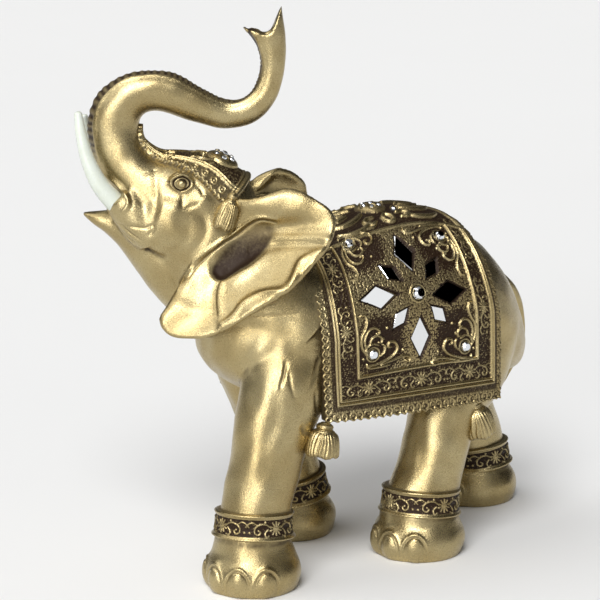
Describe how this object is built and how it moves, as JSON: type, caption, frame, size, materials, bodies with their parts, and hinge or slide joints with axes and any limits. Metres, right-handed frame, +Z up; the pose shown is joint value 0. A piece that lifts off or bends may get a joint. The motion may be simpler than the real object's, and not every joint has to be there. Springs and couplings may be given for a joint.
{
  "type": "elephant figurine",
  "caption": "Gold resin figurine of a walking elephant with a raised trunk, ivory-coloured tusks, and a jewelled saddle cloth and cap set with mirrors and clear stones.",
  "frame": {"origin": "bottom centre of the figure's bounding box, on the plane of the soles", "axes": "-X the way the elephant walks, -Y its left side, +Z up"},
  "size_m": [0.201, 0.0878, 0.2142],
  "materials": {
    "gold_resin": "satin gold metallic paint with a dark brown wash in the recesses",
    "ivory_resin": "smooth ivory-white satin",
    "mirror_glass": "silvered glass chip",
    "rhinestone": "faceted clear flat-back stone"
  },
  "bodies": {
    "root": {"elephant_casting": "gold_resin", "tusk_left": "ivory_resin", "tusk_right": "ivory_resin", "mirror_left_large_1": "mirror_glass", "mirror_left_large_2": "mirror_glass", "mirror_left_large_3": "mirror_glass", "mirror_left_large_4": "mirror_glass", "mirror_left_small_1": "mirror_glass", "mirror_left_small_2": "mirror_glass", "mirror_left_small_3": "mirror_glass", "mirror_left_small_4": "mirror_glass", "mirror_right_large_1": "mirror_glass", "mirror_right_large_2": "mirror_glass", "mirror_right_large_3": "mirror_glass", "mirror_right_large_4": "mirror_glass", "mirror_right_small_1": "mirror_glass", "mirror_right_small_2": "mirror_glass", "mirror_right_small_3": "mirror_glass", "mirror_right_small_4": "mirror_glass", "stone_left_centre": "rhinestone", "stone_left_corner_1": "rhinestone", "stone_left_corner_2": "rhinestone", "stone_left_corner_3": "rhinestone", "stone_left_corner_4": "rhinestone", "stone_left_back": "rhinestone", "stone_right_centre": "rhinestone", "stone_right_corner_1": "rhinestone", "stone_right_corner_2": "rhinestone", "stone_right_corner_3": "rhinestone", "stone_right_corner_4": "rhinestone", "stone_right_back": "rhinestone", "stone_back_1": "rhinestone", "stone_back_2": "rhinestone", "stone_back_3": "rhinestone", "stone_back_4": "rhinestone", "stone_back_5": "rhinestone", "stone_back_6": "rhinestone", "stone_back_7": "rhinestone", "stone_cap_1": "rhinestone", "stone_cap_2": "rhinestone", "stone_cap_3": "rhinestone", "stone_cap_4": "rhinestone", "stone_cap_5": "rhinestone", "stone_cap_6": "rhinestone", "stone_cap_7": "rhinestone"}
  },
  "joints": []
}
